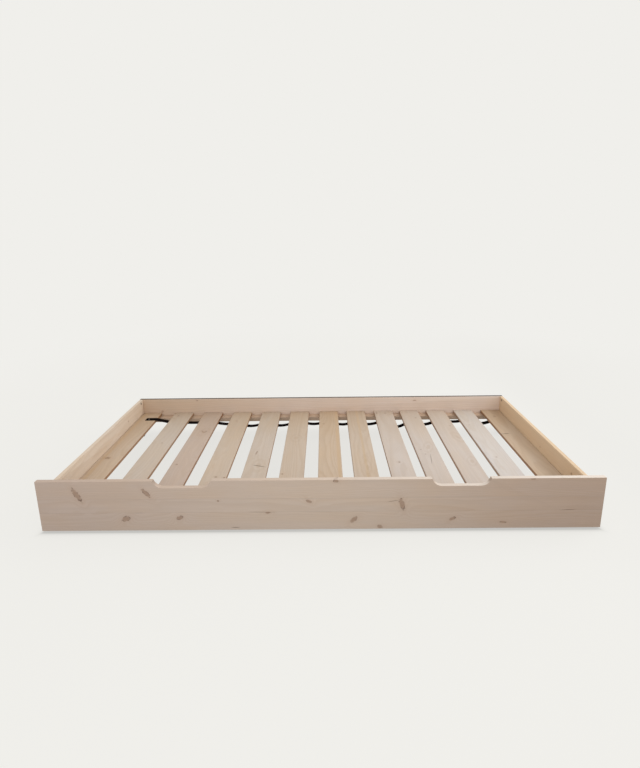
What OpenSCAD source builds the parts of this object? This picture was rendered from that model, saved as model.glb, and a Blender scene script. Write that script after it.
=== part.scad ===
// Low pine trundle bed: a tray of boards on four hidden castors.
// The front panel faces -Y, the length runs along X, and the floor is z = 0.
// The origin is the centre of the footprint, on the floor.

/* [Front panel] */
// Length of the front panel
front_w = 2000; // [1660:10:2400]
// How far the front panel runs past each side board
overhang = 31; // [10:1:60]
// Height of the front panel
front_h = 195; // [160:5:240]
// Thickness of the front panel
front_t = 18; // [15:1:24]
// Gap between the front panel and the floor
floor_gap = 8; // [4:1:16]
// Distance of the left grip notch from the middle of the panel
notch_left = 482; // [300:1:580]
// Distance of the right grip notch from the middle of the panel
notch_right = 499; // [300:1:580]
// Width of a grip notch at the panel's top edge
notch_w = 208; // [160:1:240]
// Depth of a grip notch
notch_d = 27; // [20:1:34]
// Slope of a notch's ends, in degrees
notch_slope = 66; // [45:1:70]
// Radius in the notch's bottom corners
notch_r = 38; // [10:1:40]

/* [Box] */
// Depth of the whole bed, from front face to back face
depth = 950; // [760:5:1160]
// Thickness of the side boards
side_t = 15; // [15:0.5:22]
// Thickness of the back panel
back_t = 18; // [15:1:24]
// How far the side and back boards run below the ledges
board_lip = 10; // [0:1:20]
// Drop from the front panel's top to the tops of the side boards
side_drop = 25; // [10:1:35]

/* [Slats] */
// Width of a slat
slat_w = 98; // [70:1:120]
// Thickness of a slat
slat_t = 15; // [10:0.5:20]
// Radius on a slat's long edges
slat_r = 3; // [1:0.5:4]
// Depth of the ledge that a slat's end rests on
ledge_d = 42; // [20:1:50]
// Height of the ledge
ledge_h = 22; // [16:1:30]
// Gap between each end of a ledge and the side board, which leaves the cam locks free
ledge_stop = 36; // [32:1:60]

/* [Webbing] */
// Width of the webbing that ties the slats
web_w = 34; // [20:1:40]
// Thickness of the webbing
web_t = 1.2; // [0.8:0.1:2]
// Distance of the webbing's centre line from the front and back boards
web_inset = 95; // [60:1:180]
// Radius of a tack's head
tack_head_r = 3.5; // [3:0.1:5]
// Radius of a tack's shank
tack_r = 0.8; // [0.6:0.1:1.2]
// Length of a tack's shank
tack_l = 9; // [6:0.5:9]

/* [Castors] */
// Radius of a wheel over its tyre
wheel_r = 25; // [20:1:32]
// Width of a tyre
wheel_w = 18; // [14:1:24]
// Radius of the axle
axle_r = 3; // [2.5:0.1:4]
// Thickness of the bracket's steel
steel_t = 2; // [1.5:0.1:3]
// Distance of a wheel's axle from the face of the ledge
castor_inset = 32; // [26:1:60]
// Height of the slats' undersides above a castor's bracket
deck_rise = 32; // [28:1:45]

/* [Fittings] */
// Radius of a cam lock
cam_r = 6; // [5:0.1:7.5]
// Depth of a cam lock
cam_d = 10.5; // [9:0.5:11.5]
// Distance of a cam lock from the end of its board
cam_backset = 24; // [20:1:34]
// Distance of a cam lock from the board's top or bottom edge
cam_edge = 14; // [10:1:20]
// Radius of a dowel
dowel_r = 3; // [2.5:0.5:4]
// Length of a dowel
dowel_l = 30; // [20:1:32]
// Radius of a ledge screw's shank
screw_r = 2; // [1.5:0.1:2.5]
// How far a ledge screw goes into the board behind the ledge
screw_bite = 12; // [8:1:14]

/* [Hidden] */
$fn = 48;
SLATS = 13;
FINGERS = [for (i = [1:SLATS]) str("slat_", i < 10 ? "0" : "", i)];
CORNERS = ["front_left", "front_right", "back_left", "back_right"];

// Colours
pine = [0.80, 0.69, 0.58];
pine_deep = [0.72, 0.60, 0.49];
web_black = [0.08, 0.06, 0.07];
steel = [0.70, 0.71, 0.72];
plastic = [0.16, 0.16, 0.17];
rubber = [0.34, 0.34, 0.35];

// Clearances
bore_play = 0.05;     // a screw, tack, dowel or axle in its hole
cam_play = 0.1;       // a cam lock in its pocket
slat_side_play = 0.5; // the outer slats beside a side board
slat_end_play = 1;    // each end of a slat
deck_play = 3;        // a castor's plate below the slats
wheel_play = 1;       // each side of a wheel in its bracket
drill_spare = 0.5;    // a blind hole beyond the end of its fastener
cut = 1;              // a cut past the face that it leaves

// Levels, up from the floor: the castors carry the slats, and the front sets the rim
axle_z = wheel_r;
arch_play = 4;
arch_z = axle_z + wheel_r + arch_play;
slat_under = arch_z + steel_t + deck_rise;
slat_top = slat_under + slat_t;
ledge_under = slat_under - ledge_h;
box_bottom = ledge_under - board_lip;
front_top = floor_gap + front_h;
box_top = front_top - side_drop;
board_h = box_top - box_bottom;

// Faces of the boards
front_y = -depth / 2;
back_y = depth / 2;
in_front = front_y + front_t;
in_back = back_y - back_t;
side_l = in_back - in_front;
box_w = front_w - 2 * overhang;
in_x = box_w / 2 - side_t;

// Slats: spread evenly, then slid along the ledges as the loose webbing lets them
slat_l = side_l - 2 * slat_end_play;
slat_first = -in_x + slat_side_play + slat_w / 2;
slat_gap = (2 * (in_x - slat_side_play) - SLATS * slat_w) / (SLATS - 1);
slat_slide = [0, 0.4, 0.53, 0.63, 0.72, 0.72, 0.8, 0.66, 0.6, 0.32, 0.15, 0.08, 0];
function slat_x(i) = slat_first + i * (slat_w + slat_gap) + slat_slide[i] * slat_gap;

// Webbing: how far it hangs below the slats in each gap after the second slat.
// It runs past its last tack by web_end, and its first tack is off the slat's middle.
rear_sag = [5, 14, 26, 25, 18, 22, 22, 38, 26, 12, 24];
front_sag = [16, 22, 9, 27, 18, 31, 24, 15, 20, 28, 11];
// Where its lowest point lies in each gap: left of the middle below 1, right of it above 1
rear_lean = [0.9, 1.35, 0.65, 0.65, 1, 1, 0.75, 0.8, 0.85, 1.1, 0.9];
front_lean = [1.2, 0.8, 1, 0.7, 1.3, 1, 0.85, 1.1, 0.75, 1, 1.25];
web_steps = 8;
web_flat = tack_head_r + 2.5;
web_end = 16;
web_front_y = in_front + web_inset;
web_rear_y = in_back - web_inset;
tack_head_t = 0.8;
tack_first = slat_w / 8;
tack_hole = tack_l - web_t + drill_spare;

// Castors
castor_gap = wheel_w + 2 * wheel_play;
castor_w = castor_gap + 2 * steel_t;
cheek_r = 3 * axle_r;
cheek_half = 20;
plate_half = 24;
plate_top = slat_under - deck_play;
tyre_t = 5;
rim_r = wheel_r - tyre_t;
hub_r = 9;
rim_wall = 3;
web_wall = 4;
tyre_edge = tyre_t / 2;
rivet_r = 1.7 * axle_r;
rivet_t = 2;
castor_screw_r = 1.7;
castor_screw_l = 12;
castor_head_r = 3.4;
castor_head_t = 2;
plate_screw_y = 16;
plate_screw_high = plate_top - 5;
plate_screw_low = plate_screw_high - 14;
castor_front_y = in_front + ledge_d + castor_inset;
castor_back_y = in_back - ledge_d - castor_inset;

// Ledge screws
screw_count = 7;
screw_end = 24;       // the first and last screws from the ends of their ledge
screw_l = ledge_d + screw_bite;
screw_head_r = 2 * screw_r;
screw_span = 2 * (in_x - ledge_stop - screw_end);
screw_z = ledge_under + ledge_h / 2;

// Corner fittings
bolt_r = 2.5;
bolt_thread_r = 3;
bolt_thread_l = 11;
bolt_head_r = 3;
bolt_head_t = 3;
bolt_x = in_x + cam_d - bolt_head_r;
cam_slot_r = bolt_head_r + 0.3;
dowel_x = in_x + side_t / 2;
cam_levels = [box_bottom + cam_edge, box_top - cam_edge];
dowel_levels = [box_bottom + board_h / 3, box_bottom + 2 * board_h / 3];
dowel_in_side = 0.6 * dowel_l;

function screw_x(k) = -screw_span / 2 + k * screw_span / (screw_count - 1);
function is_left(c) = c == "front_left" || c == "back_left";
function is_front(c) = c == "front_left" || c == "front_right";
function castor_y(c) = is_front(c) ? castor_front_y : castor_back_y;

// A straight cylinder along X, from x = 0
module rod_x(r, l) {
    rotate([0, 90, 0]) cylinder(r = r, h = l);
}

// A straight cylinder along Y, from y = 0
module rod_y(r, l) {
    rotate([-90, 0, 0]) cylinder(r = r, h = l);
}

// A board as a plain block between two corners
module board(low, high) {
    translate(low) cube(high - low);
}

// Children drawn on the left side, and their mirror image on the right
module both_sides() {
    children();
    mirror([1, 0, 0]) children();
}

// Children drawn at a front corner, and turned round to the back corner.
// The origin is the joint plane between a side board's end and the board across it,
// with +Y pointing into the side board.
module both_ends() {
    translate([0, in_front, 0]) children();
    translate([0, in_back, 0]) mirror([0, 1, 0]) children();
}

// Bolt and dowel holes in a board across the sides' ends, drilled from the joint plane
module end_holes() {
    for (z = cam_levels)
        translate([-bolt_x, -bolt_thread_l - drill_spare, z])
            rod_y(bolt_thread_r + bore_play, bolt_thread_l + drill_spare + cut / 2);
    for (z = dowel_levels)
        translate([-dowel_x, -(dowel_l - dowel_in_side) - drill_spare, z])
            rod_y(dowel_r + bore_play, dowel_l - dowel_in_side + drill_spare + cut / 2);
}

// Bolt, dowel and cam holes at one end of the left side board
module side_holes() {
    for (z = cam_levels) {
        translate([-bolt_x, -cut, z]) rod_y(bolt_thread_r + bore_play, cam_backset + cut);
        translate([-in_x - cam_d - drill_spare, cam_backset, z])
            rod_x(cam_r + cam_play, cam_d + drill_spare + cut);
    }
    for (z = dowel_levels)
        translate([-dowel_x, -cut, z]) rod_y(dowel_r + bore_play, dowel_in_side + drill_spare + cut);
}

// Holes for the ledge screws in the board behind a ledge, with +Y into the board
module screw_holes() {
    for (k = [0:screw_count - 1])
        translate([screw_x(k), -cut / 2, screw_z])
            rod_y(screw_r + bore_play, screw_bite + drill_spare + cut / 2);
}

// Outline of a grip notch, hung from z = 0 with its middle at x = 0. Its corners' radius
// is limited so that each arc ends below the panel's top edge.
module notch_shape() {
    run = notch_d / tan(notch_slope);
    corner_r = min(notch_r, 0.95 * notch_d / (1 - cos(notch_slope)));
    trim = corner_r * tan(notch_slope / 2);
    foot = notch_w / 2 - run;
    flat = foot - trim;
    knee_x = foot + trim * cos(notch_slope);
    knee_z = -notch_d + trim * sin(notch_slope);
    polygon([
        [-notch_w / 2, 0], [-knee_x, knee_z], [-flat, -notch_d],
        [flat, -notch_d], [knee_x, knee_z], [notch_w / 2, 0],
        [notch_w / 2, cut], [-notch_w / 2, cut]
    ]);
    for (s = [-1, 1])
        intersection() {
            translate([s * flat, corner_r - notch_d]) circle(r = corner_r);
            translate([-notch_w / 2, -notch_d]) square([notch_w, notch_d + cut]);
        }
}

module front_panel() {
    color(pine)
    difference() {
        translate([0, in_front, 0])
            rotate([90, 0, 0])
                linear_extrude(height = front_t)
                    difference() {
                        translate([-front_w / 2, floor_gap]) square([front_w, front_h]);
                        for (x = [-notch_left, notch_right])
                            translate([x, front_top]) notch_shape();
                    }
        translate([0, in_front, 0]) both_sides() end_holes();
        translate([0, in_front, 0]) mirror([0, 1, 0]) screw_holes();
    }
}

module back_panel() {
    color(pine)
    difference() {
        board([-box_w / 2, in_back, box_bottom], [box_w / 2, back_y, box_top]);
        translate([0, in_back, 0]) mirror([0, 1, 0]) both_sides() end_holes();
        translate([0, in_back, 0]) screw_holes();
    }
}

// Positions of a castor's four screws, relative to its axle's Y
module plate_screws() {
    for (y = [-plate_screw_y, plate_screw_y])
        for (z = [plate_screw_low, plate_screw_high])
            translate([-in_x, y, z]) children();
}

module side_board() {
    difference() {
        board([-box_w / 2, in_front, box_bottom], [-in_x, in_back, box_top]);
        both_ends() side_holes();
        for (y = [castor_front_y, castor_back_y])
            translate([0, y, 0])
                plate_screws()
                    translate([-castor_screw_l + steel_t - drill_spare, 0, 0])
                        rod_x(castor_screw_r + bore_play, castor_screw_l + cut);
    }
}

module left_side() {
    color(pine) side_board();
}

module right_side() {
    color(pine) mirror([1, 0, 0]) side_board();
}

// A ledge whose back is on the plane y = 0, with +Y into the board behind it
module ledge() {
    difference() {
        board([ledge_stop - in_x, -ledge_d, ledge_under], [in_x - ledge_stop, 0, slat_under]);
        for (k = [0:screw_count - 1])
            translate([screw_x(k), -ledge_d, screw_z]) {
                translate([0, -cut, 0]) rod_y(screw_r + bore_play, ledge_d + 2 * cut);
                rotate([-90, 0, 0])
                    cylinder(r1 = screw_head_r + 2 * bore_play, r2 = screw_r, h = screw_head_r - screw_r + bore_play);
            }
    }
}

module front_ledge() {
    color(pine_deep) translate([0, in_front, 0]) mirror([0, 1, 0]) ledge();
}

module back_ledge() {
    color(pine_deep) translate([0, in_back, 0]) ledge();
}

// Cross-section of a slat, with its top face at z = 0
module slat_shape() {
    translate([-slat_w / 2 + slat_r, -slat_t]) square([slat_w - 2 * slat_r, slat_t]);
    translate([-slat_w / 2, -slat_t + slat_r]) square([slat_w, slat_t - 2 * slat_r]);
    for (x = [-1, 1])
        for (z = [slat_r - slat_t, -slat_r])
            translate([x * (slat_w / 2 - slat_r), z]) circle(r = slat_r);
}

// Where a tack enters slat i: the first slat's tacks come from above
function tack_x(i) = i == 0 ? slat_x(0) + tack_first : slat_x(i);

module slat(i) {
    color(pine)
    difference() {
        translate([slat_x(i), slat_l / 2 + (in_front + in_back) / 2, slat_top])
            rotate([90, 0, 0])
                linear_extrude(height = slat_l) slat_shape();
        for (y = [web_front_y, web_rear_y])
            translate([tack_x(i), y, i == 0 ? slat_top - tack_hole : slat_under - cut])
                cylinder(r = tack_r + bore_play, h = tack_hole + cut);
    }
}

// Height of the webbing's upper face between two slats' tacks, t from 0 to 1
function hang(sag, lean, t) = slat_under - 4 * sag * pow(t, lean) * (1 - pow(t, lean));

// The webbing's upper face: over the first slat, down through the first gap, then
// from tack to tack under the others, flat on each slat by its tack
function web_route(sags, leans) = concat(
    [
        [tack_x(0) - web_end, slat_top + web_t],
        [slat_x(0) + slat_w / 2 + web_t, slat_top + web_t],
        [slat_x(1) - slat_w / 2 - 2 * web_t, slat_under - web_t],
        [slat_x(1) - slat_w / 4, slat_under]
    ],
    [
        for (i = [1:SLATS - 2])
            for (k = [0:web_steps])
                [
                    slat_x(i) + web_flat + (slat_x(i + 1) - slat_x(i) - 2 * web_flat) * k / web_steps,
                    hang(sags[i - 1], leans[i - 1], k / web_steps)
                ]
    ],
    [
        [slat_x(SLATS - 1) + web_end, slat_under]
    ]
);

module webbing(y, sags, leans) {
    top = web_route(sags, leans);
    count = len(top);
    under = [for (k = [0:count - 1]) [top[count - 1 - k][0], top[count - 1 - k][1] - web_t]];
    color(web_black)
    difference() {
        translate([0, y + web_w / 2, 0])
            rotate([90, 0, 0])
                linear_extrude(height = web_w) polygon(concat(top, under));
        for (i = [0:SLATS - 1])
            translate([tack_x(i), y, i == 0 ? slat_top - cut : slat_under - web_t - cut])
                cylinder(r = tack_r + bore_play, h = web_t + 2 * cut);
    }
}

module rear_webbing() {
    webbing(web_rear_y, rear_sag, rear_lean);
}

module front_webbing() {
    webbing(web_front_y, front_sag, front_lean);
}

// A tack with the underside of its head at z = 0, pointing down
module tack() {
    cylinder(r = tack_head_r, h = tack_head_t);
    translate([0, 0, -tack_l]) cylinder(r = tack_r, h = tack_l + tack_head_t / 2);
}

module webbing_tacks() {
    color(steel)
    for (y = [web_front_y, web_rear_y]) {
        translate([tack_x(0), y, slat_top + web_t]) tack();
        for (i = [1:SLATS - 1])
            translate([tack_x(i), y, slat_under - web_t]) mirror([0, 0, 1]) tack();
    }
}

// A cam lock with its face at x = 0 and its body towards -X
module cam_lock() {
    slot_w = 1.2;
    slot_l = 7;
    slot_d = 1.5;
    difference() {
        translate([-cam_d, 0, 0]) rod_x(cam_r, cam_d);
        translate([in_x - bolt_x, -cam_r - cut, 0]) rod_y(cam_slot_r, cam_r + cut + bolt_head_t);
        translate([-slot_d, -slot_l / 2, -slot_w / 2]) cube([slot_d + cut, slot_l, slot_w]);
        translate([-slot_d, -slot_w / 2, -slot_l / 2]) cube([slot_d + cut, slot_w, slot_l]);
    }
}

module cam_locks() {
    color(steel)
    both_sides() both_ends()
        for (z = cam_levels)
            translate([-in_x, cam_backset, z]) cam_lock();
}

// A bolt along Y: its thread in the board across, its head in the cam lock
module cam_bolt() {
    translate([0, -bolt_thread_l, 0]) rod_y(bolt_thread_r, bolt_thread_l);
    rod_y(bolt_r, cam_backset);
    translate([0, cam_backset - bolt_head_t / 2, 0]) rod_y(bolt_head_r, bolt_head_t);
}

module cam_bolts() {
    color(steel)
    both_sides() both_ends()
        for (z = cam_levels)
            translate([-bolt_x, 0, z]) cam_bolt();
}

module corner_dowels() {
    color(pine_deep)
    both_sides() both_ends()
        for (z = dowel_levels)
            translate([-dowel_x, dowel_in_side - dowel_l, z]) rod_y(dowel_r, dowel_l);
}

// A countersunk screw along +Y with its head's face at y = 0
module ledge_screw() {
    drive = 1;
    drive_l = 4.6;
    drive_d = 1.2;
    difference() {
        union() {
            rod_y(screw_r, screw_l);
            rotate([-90, 0, 0]) cylinder(r1 = screw_head_r, r2 = screw_r, h = screw_head_r - screw_r);
        }
        translate([-drive / 2, -cut, -drive_l / 2]) cube([drive, drive_d + cut, drive_l]);
        translate([-drive_l / 2, -cut, -drive / 2]) cube([drive_l, drive_d + cut, drive]);
    }
}

module ledge_screws() {
    color(steel)
    for (k = [0:screw_count - 1]) {
        translate([screw_x(k), in_back - ledge_d, screw_z]) ledge_screw();
        translate([screw_x(k), in_front + ledge_d, screw_z]) mirror([0, 1, 0]) ledge_screw();
    }
}

// A pan-head screw along -X with the underside of its head at x = 0
module castor_screw() {
    drive = 1;
    drive_l = 4;
    drive_d = 1;
    difference() {
        union() {
            translate([-castor_screw_l, 0, 0]) rod_x(castor_screw_r, castor_screw_l);
            rod_x(castor_head_r, castor_head_t);
        }
        translate([castor_head_t - drive_d, -drive / 2, -drive_l / 2]) cube([drive_d + cut, drive, drive_l]);
        translate([castor_head_t - drive_d, -drive_l / 2, -drive / 2]) cube([drive_d + cut, drive_l, drive]);
    }
}

module castor_screws() {
    color(steel)
    both_sides()
        for (y = [castor_front_y, castor_back_y])
            translate([steel_t, y, 0]) plate_screws() castor_screw();
}

// Puts a castor's pieces at corner c: drawn with the side board's face at x = 0 and
// the axle at y = 0
module at_corner(c) {
    if (is_left(c))
        translate([-in_x, castor_y(c), 0]) children();
    else
        mirror([1, 0, 0]) translate([-in_x, castor_y(c), 0]) children();
}

// A bracket's cheek in the YZ plane: round about the axle, straight sides above it
module cheek(half, top) {
    rotate([90, 0, 90])
        linear_extrude(height = steel_t)
            union() {
                translate([0, axle_z]) circle(r = cheek_r);
                polygon([[-cheek_r, axle_z], [cheek_r, axle_z], [half, arch_z], [half, top], [-half, top], [-half, arch_z]]);
            }
}

module bracket(c) {
    color(steel)
    at_corner(c)
        difference() {
            union() {
                cheek(plate_half, plate_top);
                translate([castor_w - steel_t, 0, 0]) cheek(cheek_half, arch_z + steel_t);
                translate([0, -cheek_half, arch_z]) cube([castor_w, 2 * cheek_half, steel_t]);
            }
            translate([-cut, 0, axle_z]) rod_x(axle_r, castor_w + 2 * cut);
            translate([in_x, 0, 0])
                plate_screws()
                    translate([-cut, 0, 0]) rod_x(castor_screw_r + bore_play, steel_t + 2 * cut);
        }
}

module axle(c) {
    color(steel)
    at_corner(c)
        translate([0, 0, axle_z]) {
            rod_x(axle_r, castor_w);
            translate([castor_w, 0, 0]) rod_x(rivet_r, rivet_t);
        }
}

// A ring turned about the X axis, from a profile of [radius, x] points
module turned() {
    rotate([0, 90, 0]) rotate_extrude() children();
}

module wheel(c) {
    half = wheel_w / 2;
    color(plastic)
    at_corner(c)
        translate([castor_w / 2, 0, axle_z])
            turned()
                union() {
                    translate([axle_r + bore_play, -half]) square([hub_r - axle_r - bore_play, wheel_w]);
                    translate([hub_r - cut, -web_wall / 2]) square([rim_r - rim_wall - hub_r + 2 * cut, web_wall]);
                    translate([rim_r - rim_wall, cut - half]) square([rim_wall, wheel_w - 2 * cut]);
                }
}

module tyre(c) {
    half = wheel_w / 2;
    color(rubber)
    at_corner(c)
        translate([castor_w / 2, 0, axle_z])
            turned()
                union() {
                    translate([rim_r, -half]) square([wheel_r - rim_r - tyre_edge, wheel_w]);
                    translate([rim_r, tyre_edge - half]) square([wheel_r - rim_r, wheel_w - 2 * tyre_edge]);
                    for (s = [-1, 1])
                        translate([wheel_r - tyre_edge, s * (half - tyre_edge)]) circle(r = tyre_edge);
                }
}

front_panel();
back_panel();
left_side();
right_side();
front_ledge();
back_ledge();
for (i = [0:SLATS - 1])
    slat(i);
rear_webbing();
front_webbing();
webbing_tacks();
cam_locks();
cam_bolts();
corner_dowels();
ledge_screws();
castor_screws();
for (c = CORNERS) {
    bracket(c);
    axle(c);
    wheel(c);
    tyre(c);
}
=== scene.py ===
"""A low pine trundle bed on hidden castors: its boards, slats, webbing, fittings and castors.

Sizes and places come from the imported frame. Lengths are metres, and the wood patterns are in millimetres.
"""

import logging
import math
from dataclasses import dataclass, field
from enum import Enum
from typing import Callable, Sequence, Union

import bmesh
import bpy
from mathutils import Euler, Matrix, Vector


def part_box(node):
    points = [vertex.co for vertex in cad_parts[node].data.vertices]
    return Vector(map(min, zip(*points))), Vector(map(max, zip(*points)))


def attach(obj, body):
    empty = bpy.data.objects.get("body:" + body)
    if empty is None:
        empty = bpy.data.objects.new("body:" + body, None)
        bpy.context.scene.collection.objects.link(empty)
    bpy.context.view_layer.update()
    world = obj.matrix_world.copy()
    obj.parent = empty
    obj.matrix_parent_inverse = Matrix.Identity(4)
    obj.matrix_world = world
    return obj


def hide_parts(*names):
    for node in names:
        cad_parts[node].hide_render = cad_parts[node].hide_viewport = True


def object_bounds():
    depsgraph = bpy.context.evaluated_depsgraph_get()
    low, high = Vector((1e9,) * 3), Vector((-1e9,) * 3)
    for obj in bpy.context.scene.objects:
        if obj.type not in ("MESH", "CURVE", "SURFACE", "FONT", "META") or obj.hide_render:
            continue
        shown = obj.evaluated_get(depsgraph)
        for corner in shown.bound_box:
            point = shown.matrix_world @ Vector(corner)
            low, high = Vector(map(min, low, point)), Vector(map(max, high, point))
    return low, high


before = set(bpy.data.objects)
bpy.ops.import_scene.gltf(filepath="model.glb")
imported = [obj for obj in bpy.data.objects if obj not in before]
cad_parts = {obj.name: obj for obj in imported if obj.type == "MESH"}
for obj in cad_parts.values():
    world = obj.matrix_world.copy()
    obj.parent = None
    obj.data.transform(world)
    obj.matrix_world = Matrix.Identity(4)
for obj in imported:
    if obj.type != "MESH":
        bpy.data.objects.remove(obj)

CAD_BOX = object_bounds()
MM = 0.001
PER_METRE = 1000.0
ROOT = "bed_frame"
CORNERS = ("front_left", "front_right", "back_left", "back_right")

log = logging.getLogger("trundle_bed")

Colour = tuple[float, float, float]
Number = Union[float, "Wire"]


class Axis(Enum):
    """An axis of the bed's frame: X along it, Y from front to back, Z up."""

    X = 0
    Y = 1
    Z = 2


def tone(red: float, green: float, blue: float) -> Colour:
    """Turns a colour picked on a screen into the linear light that shaders use.

    Args:
        red: Red, from 0 to 255.
        green: Green, from 0 to 255.
        blue: Blue, from 0 to 255.

    Returns:
        The three linear values, from 0 to 1.
    """
    knee, slope, offset, power = 0.04045, 12.92, 0.055, 2.4
    linear = []
    for value in (red, green, blue):
        share = value / 255
        linear.append(share / slope if share <= knee else ((share + offset) / (1 + offset)) ** power)
    return (linear[0], linear[1], linear[2])


# ---------------------------------------------------------------------------
# Shader maths
# ---------------------------------------------------------------------------


class Wire:
    """One output of a shader node, with the arithmetic that adds Math nodes after it."""

    def __init__(self, graph: "Graph", socket: bpy.types.NodeSocket) -> None:
        """Keeps the graph and the output socket."""
        self.graph = graph
        self.socket = socket

    def __add__(self, other: Number) -> "Wire":
        """Adds."""
        return self.graph.math("ADD", self, other)

    def __radd__(self, other: Number) -> "Wire":
        """Adds, with the number first."""
        return self.graph.math("ADD", other, self)

    def __sub__(self, other: Number) -> "Wire":
        """Subtracts."""
        return self.graph.math("SUBTRACT", self, other)

    def __rsub__(self, other: Number) -> "Wire":
        """Subtracts from a number."""
        return self.graph.math("SUBTRACT", other, self)

    def __mul__(self, other: Number) -> "Wire":
        """Multiplies."""
        return self.graph.math("MULTIPLY", self, other)

    def __rmul__(self, other: Number) -> "Wire":
        """Multiplies, with the number first."""
        return self.graph.math("MULTIPLY", other, self)

    def __truediv__(self, other: Number) -> "Wire":
        """Divides."""
        return self.graph.math("DIVIDE", self, other)

    def __rtruediv__(self, other: Number) -> "Wire":
        """Divides a number by this value."""
        return self.graph.math("DIVIDE", other, self)

    def __neg__(self) -> "Wire":
        """Changes the sign."""
        return self.graph.math("MULTIPLY", self, -1.0)

    def __pow__(self, other: Number) -> "Wire":
        """Raises to a power."""
        return self.graph.math("POWER", self, other)

    def __gt__(self, other: Number) -> "Wire":
        """Gives 1 where this value is larger, and 0 elsewhere."""
        return self.graph.math("GREATER_THAN", self, other)


class Graph:
    """A material and its nodes, built from expressions."""

    def __init__(self, name: str) -> None:
        """Makes an empty material with one Principled shader.

        Args:
            name: The material's name.
        """
        self.material = bpy.data.materials.new(name)
        self.material.use_nodes = True
        self.tree = self.material.node_tree
        self.tree.nodes.clear()
        output = self.tree.nodes.new("ShaderNodeOutputMaterial")
        self.shader = self.tree.nodes.new("ShaderNodeBsdfPrincipled")
        self.tree.links.new(self.shader.outputs[0], output.inputs[0])

    def put(self, socket: bpy.types.NodeSocket, value: object) -> None:
        """Links a wire to a socket, or sets the socket's own value."""
        if isinstance(value, Wire):
            self.tree.links.new(value.socket, socket)
        elif isinstance(value, tuple) and len(value) == 3 and socket.type == "RGBA":
            socket.default_value = (*value, 1.0)
        else:
            socket.default_value = value

    def node(
        self, kind: str, settings: dict[str, object], inputs: dict[object, object], out: int = 0,
    ) -> Wire:
        """Adds any node.

        Args:
            kind: The node's Blender type.
            settings: Its own settings, set first.
            inputs: Values or wires by socket name or index.
            out: Which output to give.

        Returns:
            The chosen output.
        """
        node = self.tree.nodes.new(kind)
        for key, value in settings.items():
            setattr(node, key, value)
        for key, value in inputs.items():
            self.put(node.inputs[key], value)
        return Wire(self, node.outputs[out])

    def math(self, operation: str, *values: Number) -> Wire:
        """Adds a Math node on one, two or three values."""
        return self.node("ShaderNodeMath", {"operation": operation}, dict(enumerate(values)))

    def smooth(self, value: Number, low: float, high: float) -> Wire:
        """Gives 0 below low and 1 above high, with a soft step between."""
        settings = {"interpolation_type": "SMOOTHSTEP"}
        return self.node("ShaderNodeMapRange", settings, {0: value, 1: low, 2: high, 3: 0.0, 4: 1.0})

    def mix(self, share: Number, first: object, second: object) -> Wire:
        """Mixes two colours."""
        return self.node("ShaderNodeMix", {"data_type": "RGBA"}, {0: share, 6: first, 7: second}, out=2)

    def dim(self, colour: object, factor: Number) -> Wire:
        """Multiplies a colour by a number."""
        inputs = {0: colour, 3: factor} if isinstance(colour, Wire) else {0: Vector(colour), 3: factor}
        return self.node("ShaderNodeVectorMath", {"operation": "SCALE"}, inputs)

    def tint(self, colour: Wire, factors: Colour) -> Wire:
        """Multiplies a colour by three factors."""
        inputs = {0: colour, 1: Vector(factors)}
        return self.node("ShaderNodeVectorMath", {"operation": "MULTIPLY"}, inputs)

    def join(self, x: Number, y: Number, z: Number) -> Wire:
        """Makes a vector of three values."""
        return self.node("ShaderNodeCombineXYZ", {}, {0: x, 1: y, 2: z})

    def part(self, vector: Wire, axis: Axis) -> Wire:
        """Takes one value out of a vector."""
        return self.node("ShaderNodeSeparateXYZ", {}, {0: vector}, out=axis.value)

    def place_mm(self) -> Wire:
        """Gives the point on the object, in millimetres."""
        point = self.node("ShaderNodeTexCoord", {}, {}, out=3)
        return self.node("ShaderNodeVectorMath", {"operation": "SCALE"}, {0: point, 3: PER_METRE})

    def facing(self) -> Wire:
        """Gives the surface's normal in the object's own axes."""
        return self.node("ShaderNodeTexCoord", {}, {}, out=1)

    def noise(self, vector: Wire, scale: float, detail: float = 2.0, distortion: float = 0.0) -> Wire:
        """Adds a noise texture, from 0 to 1 about 0.5."""
        inputs = {"Vector": vector, "Scale": scale, "Detail": detail, "Distortion": distortion}
        return self.node("ShaderNodeTexNoise", {}, inputs)

    def least(self, values: Sequence[Wire]) -> Wire:
        """Gives the smallest of some values."""
        result = values[0]
        for value in values[1:]:
            result = self.math("MINIMUM", result, value)
        return result

    def bump(self, height: Wire, depth: float, strength: float) -> None:
        """Raises the surface's normal by a height from 0 to 1, with its depth in metres."""
        inputs = {"Height": height, "Distance": depth, "Strength": strength}
        self.put(self.shader.inputs["Normal"], self.node("ShaderNodeBump", {}, inputs))

    def set(self, **sockets: object) -> None:
        """Sets the Principled shader's sockets, named with underscores for spaces."""
        for name, value in sockets.items():
            self.put(self.shader.inputs[name.replace("_", " ")], value)


# ---------------------------------------------------------------------------
# Finishes
# ---------------------------------------------------------------------------


@dataclass(frozen=True)
class Spot:
    """An oval place on a board's face, such as a knot or a crack, in millimetres.

    Attributes:
        along: Its place along the grain.
        across: Its place across the grain.
        long: Half its length.
        wide: Half its width.
        tilt: Its turn on the face, in degrees.
    """

    along: float
    across: float
    long: float
    wide: float
    tilt: float = 0.0


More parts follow.
